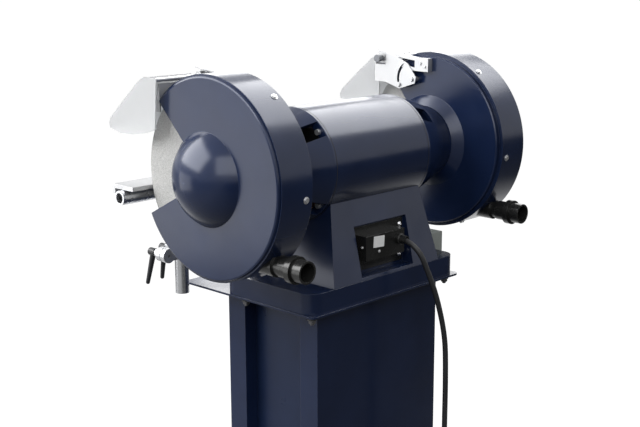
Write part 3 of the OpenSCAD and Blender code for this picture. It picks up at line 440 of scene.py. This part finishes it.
def turn(bm, profile, at, axis, sides=SIDES, closed=False):
    """A turned form. The profile's rows are radius, height in millimetres and "hex" if six-sided."""
    axis, side, up = spanning(axis)
    rings = []
    for radius, height, *form in profile:
        middle = at + axis * height * MM
        if radius == 0:
            rings.append([bm.verts.new(middle)])
            continue
        circle = []
        for k in range(sides):
            angle = 2 * math.pi * k / sides
            out = radius * MM * (six_sided(angle) if form else 1)
            circle.append(bm.verts.new(middle + (side * math.cos(angle) + up * math.sin(angle)) * out))
        rings.append(circle)
    pairs = list(zip(rings, rings[1:])) + ([(rings[-1], rings[0])] if closed else [])
    for a, b in pairs:
        for k in range(sides):
            n = (k + 1) % sides
            corners = [a[k % len(a)], a[n % len(a)], b[n % len(b)], b[k % len(b)]]
            bm.faces.new(list(dict.fromkeys(corners)))


def screw_head(bm, at, axis, radius, height):
    """A pan head with a hexagon socket."""
    round_off, socket = height * 0.35, radius * 0.5
    turn(bm, [
        (0, 0), (radius, 0), (radius, height - round_off), (radius - round_off, height),
        (socket, height), (socket, height, "hex"), (socket * 0.97, height * 0.4, "hex"), (0, height * 0.35),
    ], at, axis)


def ring(bm, at, axis, outer, inner, height):
    turn(bm, [(inner, 0), (outer, 0), (outer, height), (inner, height)], at, axis, closed=True)


def nut(bm, at, axis, radius, height):
    """A hexagon nut with rounded corners and the thread's end standing out of it."""
    thread = radius * 0.52
    turn(bm, [
        (0, 0), (radius * 0.88, 0), (radius, height * 0.12, "hex"), (radius, height * 0.88, "hex"),
        (radius * 0.88, height), (thread, height), (thread, height + 3.2),
        (thread - 0.8, height + 4), (0, height + 4),
    ], at, axis)


def plate(bm, at, across, along, width, length, corner, thick):
    """A thin plate with rounded corners, standing off its place by its thickness."""
    across, along = Vector(across).normalized(), Vector(along).normalized()
    out = across.cross(along)
    outline = []
    for k, (sx, sy) in enumerate([(1, 1), (-1, 1), (-1, -1), (1, -1)]):
        for step in range(6):
            angle = math.pi / 2 * (k + step / 5)
            outline.append(((width / 2 - corner) * sx + corner * math.cos(angle),
                            (length / 2 - corner) * sy + corner * math.sin(angle)))
    low, high = ([bm.verts.new(at + (across * u + along * v + out * h) * MM) for u, v in outline]
                 for h in (0, thick))
    bm.faces.new(low[::-1])
    bm.faces.new(high)
    for k in range(len(outline)):
        n = (k + 1) % len(outline)
        bm.faces.new([low[k], low[n], high[n], high[k]])


def islands(node):
    """The separate solids of a CAD node, each as a list of its points."""
    bm = bmesh.new()
    bm.from_mesh(NODES[node].data)
    bmesh.ops.remove_doubles(bm, verts=bm.verts, dist=1e-6)
    bm.verts.ensure_lookup_table()
    seen, found = set(), []
    for start in bm.verts:
        if start.index in seen:
            continue
        seen.add(start.index)
        solid, waiting = [], [start]
        while waiting:
            vert = waiting.pop()
            solid.append(vert.co.copy())
            for edge in vert.link_edges:
                other = edge.other_vert(vert)
                if other.index not in seen:
                    seen.add(other.index)
                    waiting.append(other)
        found.append(solid)
    bm.free()
    return found


def centre_of(points):
    """The middle of the box round some points."""
    low = Vector([min(p[i] for p in points) for i in range(3)])
    high = Vector([max(p[i] for p in points) for i in range(3)])
    return (low + high) / 2


PANEL_SCREWS = [(-62, 95, -134), (-62, 95, -195), (60, 95, -199)]
PANEL_SCREW = dict(radius=3.6, height=2.4)
PANEL_WASHER = dict(outer=5.0, inner=1.8, height=0.6)
LID_SCREWS = [((64, 110, -158), RIGHT), ((27, 120, -170), BACK), ((-48, 110, -158), LEFT)]
LID_SCREW = dict(radius=2.8, height=1.8)
LABEL_AT = (27.5, 120, -150.5)
LABEL = dict(width=31, length=22, corner=1.2, thick=0.4)
LABEL_LEAN = math.radians(4)


def add_cable_box_detail():
    """Screws of the rear panel and of the cable box, and the box's bare label."""
    bm = bmesh.new()
    for place in PANEL_SCREWS:
        at = from_shaft(*place)
        ring(bm, at, BACK, **PANEL_WASHER)
        screw_head(bm, at + Vector(BACK) * PANEL_WASHER["height"] * MM, BACK, **PANEL_SCREW)
    add_piece("panel_screws", bm, "stand", "screw_bright")
    bm = bmesh.new()
    for place, axis in LID_SCREWS:
        screw_head(bm, from_shaft(*place), axis, **LID_SCREW)
    add_piece("lid_screws", bm, "stand", "zinc")
    bm = bmesh.new()
    across = (-math.cos(LABEL_LEAN), 0, -math.sin(LABEL_LEAN))
    along_label = (-math.sin(LABEL_LEAN), 0, math.cos(LABEL_LEAN))
    plate(bm, from_shaft(*LABEL_AT), across, along_label, **LABEL)
    add_piece("bare_label", bm, "stand", "label_white")


GUARD_RADIUS = 187.0
RIM_WASHER = dict(outer=6.4, inner=2.7, height=0.7)


def add_washers():
    """A washer under each rim screw's head, on the guard's band."""
    bm = bmesh.new()
    for solid in islands("guard_screws"):
        middle = centre_of(solid)
        out = Vector((0, middle.y, middle.z - SHAFT.z)).normalized()
        on_band = Vector((middle.x, 0, SHAFT.z)) + out * GUARD_RADIUS * MM
        ring(bm, on_band, out, **RIM_WASHER)
    add_piece("rim_washers", bm, "stand", "zinc")


SEAM_SIDES = 128
SEAM_HALF = 0.7
SEAM_DEPTH = 1.5
SEAM_EDGE, SEAM_CREST = 0.12, 0.30


def add_seam_shade():
    """The joints between the motor's shell and its end bells, as thin near-black rings: painted shade
    standing for the shade in the grooves at the joints.
    """
    low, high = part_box("motor_shell")
    radius = (high[2] - low[2]) / 2 / MM
    inside, edge, crest = radius - SEAM_DEPTH, radius + SEAM_EDGE, radius + SEAM_CREST
    profile = [(inside, -SEAM_HALF), (edge, -SEAM_HALF), (crest, 0), (edge, SEAM_HALF), (inside, SEAM_HALF)]
    bm = bmesh.new()
    for x in (low[0], high[0]):
        turn(bm, profile, Vector((x, 0, SHAFT.z)), RIGHT, sides=SEAM_SIDES, closed=True)
    add_piece("shell_seam_shade", bm, "stand", "seam_shade")


STAND_WASHER = dict(outer=9.0, inner=3.0, height=1.2)
STAND_NUT = dict(radius=7.4, height=6.0)


def add_bolt_ends():
    """Nuts and thread ends below the stand's top plate."""
    bm = bmesh.new()
    for solid in islands("stand_bolts"):
        middle = centre_of(solid)
        foot = Vector((middle.x, middle.y, min(p.z for p in solid)))
        ring(bm, foot, DOWN, **STAND_WASHER)
        nut(bm, foot + Vector(DOWN) * STAND_WASHER["height"] * MM, DOWN, **STAND_NUT)
    add_piece("bolt_ends", bm, "stand", "iron")


MARK_I = dict(width=1.5, length=8.0, corner=0.5, thick=0.25)
MARK_O = dict(outer=4.2, inner=2.8, height=0.25)


def button_face(node):
    """The middle of a button's front face."""
    low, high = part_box(node)
    return Vector(((low[0] + high[0]) / 2, low[1], (low[2] + high[2]) / 2))


def add_button_marks():
    """I on the start button and O on the stop button."""
    bm = bmesh.new()
    plate(bm, button_face("start_button"), RIGHT, UP, **MARK_I)
    add_piece("mark_i", bm, "start_key", "label_white")
    bm = bmesh.new()
    ring(bm, button_face("stop_button"), FRONT, **MARK_O)
    add_piece("mark_o", bm, "stop_key", "label_white")


WELD = dict(radius=3.0, pitch=4.5)
WELD_SIDES = 8
WELD_DIP = 0.78
CORE_INSET = 29


def weld_bead(bm, corners, radius, pitch):
    """A rippled fillet weld along a closed line of corners."""
    places = []
    for a, b in zip(corners, corners[1:] + corners[:1]):
        count = max(1, round((b - a).length / (pitch * MM)))
        places += [(a.lerp(b, k / count), (b - a).normalized()) for k in range(count)]
    up = Vector(UP)
    rings = []
    for k, (at, run) in enumerate(places):
        swell = radius * (1.0 if k % 2 else WELD_DIP) * MM
        side = run.cross(up)
        angles = [2 * math.pi * step / WELD_SIDES for step in range(WELD_SIDES)]
        rings.append([bm.verts.new(at + (side * math.cos(a) + up * math.sin(a)) * swell) for a in angles])
    for a, b in zip(rings, rings[1:] + rings[:1]):
        for k in range(WELD_SIDES):
            n = (k + 1) % WELD_SIDES
            bm.faces.new([a[k], a[n], b[n], b[k]])


def add_welds():
    """A bead round the column's foot on the floor plate, in at the core on both sides."""
    low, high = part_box("column_front")
    rear_low, rear_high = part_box("column_rear")
    core_x = high[0] - CORE_INSET * MM
    right = [(high[0], low[1]), (high[0], high[1]), (core_x, high[1]),
             (core_x, rear_low[1]), (rear_high[0], rear_low[1]), (rear_high[0], rear_high[1])]
    left = [(-x, y) for x, y in reversed(right)]
    bm = bmesh.new()
    weld_bead(bm, [Vector((x, y, low[2])) for x, y in right + left], **WELD)
    add_piece("foot_weld", bm, "stand", "paint_dark")


def add_detail():
    add_cable_box_detail()
    add_washers()
    add_seam_shade()
    add_bolt_ends()
    add_button_marks()
    add_welds()


# ---------------------------------------------------------------- floor, light

def seen_rays(tree):
    """1 for the rays that show the backdrop: to the camera, in gloss and through clear sheet."""
    path = add_node(tree, "LightPath").outputs
    seen = math_node(tree, "MAXIMUM", path["Is Camera Ray"], path["Is Glossy Ray"])
    return math_node(tree, "MAXIMUM", seen, path["Is Transmission Ray"])


# level directions on the floor: away from the camera, and to its right-hand side
BEHIND = (-0.70, -0.71, 0.0)
ASIDE = (0.71, -0.70, 0.0)
# how bright the floor looks: behind the object, round it, and in gloss to its right and left
GLOW_WHITE = 1.0
GLOW_PALE = 0.50
GLOW_SIDE = 0.45
GLOW_DARK = 0.05
# how fast the white part widens with distance, and where the far floor turns white, in metres
WEDGE_SPREAD = 0.32
HORIZON = (9.0, 16.0)
FLOOR_LIT = 0.07
FLOOR_HALF = 60.0
AMBIENT = 0.20


def floor_glow(tree):
    """What the floor adds of its own: white behind the object; around it pale to the eye, and in
    gloss pale on one side and darker on the other."""
    place = object_place(tree)
    behind, aside = dot_product(tree, place, BEHIND), dot_product(tree, place, ASIDE)
    beside = math_node(tree, "SUBTRACT", math_node(tree, "ABSOLUTE", aside),
                       math_node(tree, "MULTIPLY", behind, WEDGE_SPREAD))
    wedge = math_node(tree, "MULTIPLY", remap(tree, behind, 0.1, 0.85, 0.0, 1.0),
                      remap(tree, beside, 0.8, 1.6, 1.0, 0.0))
    far = add_node(tree, "VectorMath", operation="LENGTH")
    wire(tree, place, far.inputs[0])
    gloss = add_node(tree, "LightPath").outputs["Is Glossy Ray"]
    horizon = remap(tree, far.outputs["Value"], *HORIZON, 0.0, 1.0)
    horizon = math_node(tree, "MULTIPLY", horizon, math_node(tree, "SUBTRACT", 1.0, gloss))
    white = math_node(tree, "MAXIMUM", wedge, horizon)
    sheen = remap(tree, aside, -0.2, 1.2, GLOW_DARK, GLOW_SIDE)
    around = math_node(tree, "ADD", math_node(tree, "MULTIPLY", gloss, sheen),
                       math_node(tree, "MULTIPLY", math_node(tree, "SUBTRACT", 1.0, gloss), GLOW_PALE))
    lifted = math_node(tree, "MULTIPLY", white, math_node(tree, "SUBTRACT", GLOW_WHITE, around))
    return math_node(tree, "ADD", around, lifted)


def stage_material(name, lit):
    """White or pale to the eye and in reflections, with a soft shadow left on it."""
    made = bpy.data.materials.new(name)
    made.use_nodes = True
    tree = made.node_tree
    tree.nodes.clear()
    spread = add_node(tree, "BsdfDiffuse", {"Color": rgba((lit, lit, lit))})
    glow = add_node(tree, "Emission", {
        "Color": (1, 1, 1, 1), "Strength": math_node(tree, "MULTIPLY", seen_rays(tree), floor_glow(tree)),
    })
    both = add_node(tree, "AddShader")
    wire(tree, spread.outputs[0], both.inputs[0])
    wire(tree, glow.outputs[0], both.inputs[1])
    out = add_node(tree, "OutputMaterial")
    wire(tree, both.outputs[0], out.inputs["Surface"])
    return made


def add_floor():
    size = FLOOR_HALF
    corners = [(-size, -size, 0), (size, -size, 0), (size, size, 0), (-size, size, 0)]
    mesh = bpy.data.meshes.new("floor")
    mesh.from_pydata(corners, [], [range(4)])
    floor = bpy.data.objects.new("floor", mesh)
    bpy.context.scene.collection.objects.link(floor)
    mesh.materials.append(stage_material("floor_white", FLOOR_LIT))


def add_world(ambient):
    world = bpy.data.worlds.new("studio")
    bpy.context.scene.world = world
    world.use_nodes = True
    tree = world.node_tree
    tree.nodes.clear()
    sky = add_node(tree, "Background", {
        "Color": (1, 1, 1, 1), "Strength": remap(tree, seen_rays(tree), 0.0, 1.0, ambient, 1.0),
    })
    out = add_node(tree, "OutputWorld")
    wire(tree, sky.outputs[0], out.inputs["Surface"])


def add_lamp(name, at, aim, width, height, radiance):
    """A soft box. Its power follows from how bright its face looks."""
    data = bpy.data.lights.new(name, "AREA")
    data.shape = "RECTANGLE"
    data.size, data.size_y = width, height
    data.energy = radiance * math.pi * width * height
    lamp = bpy.data.objects.new(name, data)
    bpy.context.scene.collection.objects.link(lamp)
    lamp.location = at
    lamp.rotation_euler = (Vector(aim) - Vector(at)).to_track_quat("-Z", "Y").to_euler()


MIDDLE = (0, 0, 1.05)
# name, place, what it faces, width, height, and how bright its face is
LAMPS = [
    ("key_box", (1.89, -1.42, 2.50), (0.31, 0, 1.0), 3.2, 1.9, 7.0),
    ("high_box", (-1.76, -0.1, 2.96), MIDDLE, 2.7, 1.4, 5.6),
    ("back_box", (-2.07, -1.74, 1.77), MIDDLE, 1.6, 0.8, 3.0),
    ("fill_box", (2.00, 2.10, 2.75), MIDDLE, 2.8, 2.2, 3.0),
    ("side_box", (1.47, -1.24, 0.77), (0.35, 0, 0.95), 1.1, 0.68, 2.0),
]


def add_lights():
    add_world(AMBIENT)
    for lamp in LAMPS:
        add_lamp(*lamp)


# ---------------------------------------------------------------- making the scene

add_camera()
add_cord()
add_floor()
add_lights()
dress_nodes()
add_detail()

bpy.context.scene.view_settings.view_transform = "Standard"
bpy.context.view_layer.update()
